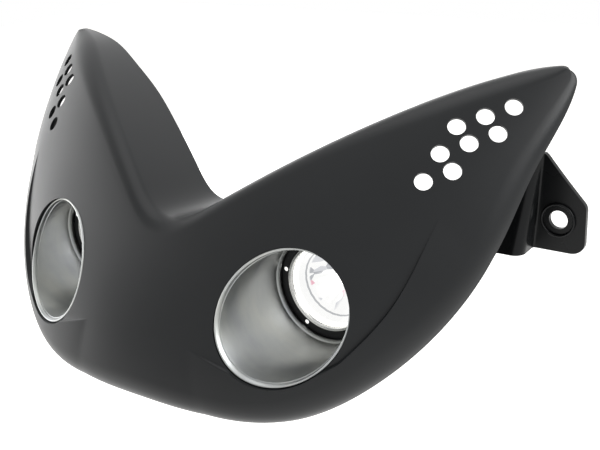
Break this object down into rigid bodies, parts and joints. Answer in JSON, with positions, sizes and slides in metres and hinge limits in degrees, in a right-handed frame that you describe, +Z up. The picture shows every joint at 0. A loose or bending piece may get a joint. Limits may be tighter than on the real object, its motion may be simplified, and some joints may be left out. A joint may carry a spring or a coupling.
{
  "type": "twin headlight",
  "caption": "Moulded wing-shaped motorbike front mask with two recessed reflector lamps in metal tubes, vent holes in both wings and a bolt ear on each side.",
  "frame": {"origin": "midway between the two ear holes, on the seat plane behind the ears", "axes": "+X to the rider's left, -Y in the riding direction and along the beams, +Z up"},
  "size_m": [0.4048, 0.1707, 0.1754],
  "materials": {
    "mask_plastic": "satin black moulding",
    "tube_metal": "satin, fine turned",
    "ring_black": "black anodised, semi-matt",
    "trim_steel": "bright",
    "gasket_silicone": "pale silicone",
    "cover_glass": "clear, polished",
    "reflector_coat": "faceted mirror coat",
    "capsule_glass": "frosted quartz",
    "lamp_ceramic": "unglazed ceramic",
    "pin_metal": "plain",
    "socket_ceramic": "unglazed ceramic",
    "cap_rubber": "soft moulded, matt",
    "grommet_rubber": "soft, matt",
    "screw_steel": "zinc plated"
  },
  "bodies": {
    "root": {"mask_shell": "mask_plastic", "lamp_tube_left": "tube_metal", "lamp_tube_right": "tube_metal", "retaining_ring_left": "ring_black", "retaining_ring_right": "ring_black", "trim_ring_left": "trim_steel", "trim_ring_right": "trim_steel", "lamp_gasket_left": "gasket_silicone", "lamp_gasket_right": "gasket_silicone", "cover_glass_left": "cover_glass", "cover_glass_right": "cover_glass", "reflector_left": "reflector_coat", "reflector_right": "reflector_coat", "bulb_capsule_left": "capsule_glass", "bulb_capsule_right": "capsule_glass", "lamp_base_left": "lamp_ceramic", "lamp_base_right": "lamp_ceramic", "contact_pins_left": "pin_metal", "contact_pins_right": "pin_metal", "lamp_socket_left": "socket_ceramic", "lamp_socket_right": "socket_ceramic", "rear_cap_left": "cap_rubber", "rear_cap_right": "cap_rubber", "lead_grommet_left": "grommet_rubber", "lead_grommet_right": "grommet_rubber", "tube_screws_left": "screw_steel", "tube_screws_right": "screw_steel"}
  },
  "joints": []
}
